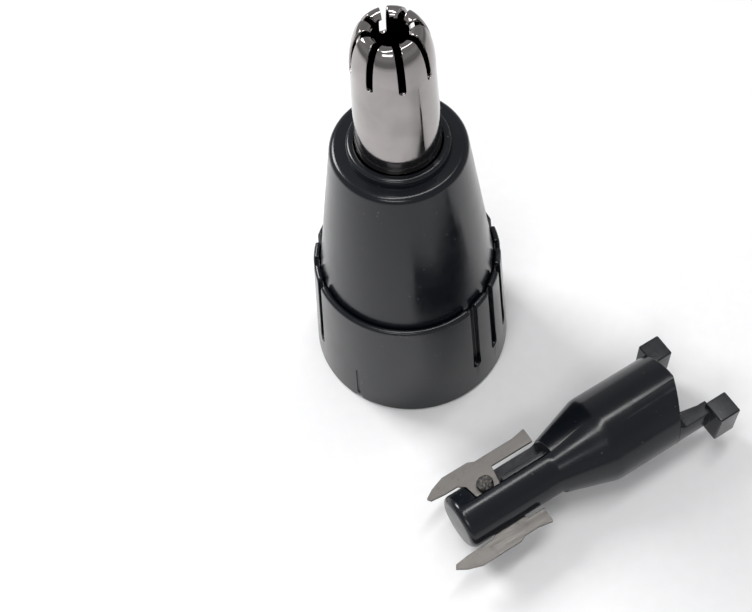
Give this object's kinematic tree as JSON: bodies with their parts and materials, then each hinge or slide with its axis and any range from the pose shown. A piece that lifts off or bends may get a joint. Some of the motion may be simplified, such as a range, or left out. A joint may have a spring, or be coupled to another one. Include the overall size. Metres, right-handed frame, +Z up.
{
  "type": "nose hair trimmer cutting head",
  "caption": "Cutting head of a nose hair trimmer standing on its base, with its rotary blade carrier taken out and lying beside it.",
  "frame": {"origin": "centre of the head's open base, on the surface it stands on", "axes": "+Z up along the head's axis towards the slotted guard; +X to the right and -Y to the front, where the rotor lies"},
  "size_m": [0.0417, 0.0406, 0.0485],
  "materials": {
    "gloss_black": "gloss",
    "inner_black": "satin",
    "bright_steel": "polished",
    "blade_steel": "brushed",
    "soft_rubber": "matte",
    "turned_brass": "satin"
  },
  "bodies": {
    "head": {"cone_housing": "gloss_black", "slotted_guard": "bright_steel", "guard_retainer": "inner_black", "rotor_guide": "inner_black", "tube_collar": "inner_black", "snap_ring": "bright_steel", "seal_ring": "soft_rubber", "detent_spring": "bright_steel"},
    "lock_ring": {"lock_ring": "gloss_black", "bayonet_ring": "inner_black"},
    "rotor_spindle": {"spindle_bush": "turned_brass"},
    "rotor": {"rotor_carrier": "gloss_black", "blade_far": "blade_steel", "blade_near": "blade_steel", "blade_stake_far": "inner_black", "blade_stake_near": "inner_black", "drive_hub": "inner_black", "thrust_spring": "bright_steel"}
  },
  "joints": [
    {"name": "lock_ring_twist", "type": "hinge", "parent": "head", "child": "lock_ring", "pos_m": [0, 0, 0], "axis": [0, 0, 1], "range_deg": [0, 30]},
    {"name": "rotor_lift", "type": "slide", "parent": "head", "child": "rotor_spindle", "axis": [0, 0, 1], "range_m": [0, 0.06]},
    {"name": "rotor_spin", "type": "hinge", "parent": "rotor_spindle", "child": "rotor", "pos_m": [0.02865, -0.01259, 0.00465], "axis": [0.9026, 0.4305, 0], "continuous": true}
  ]
}
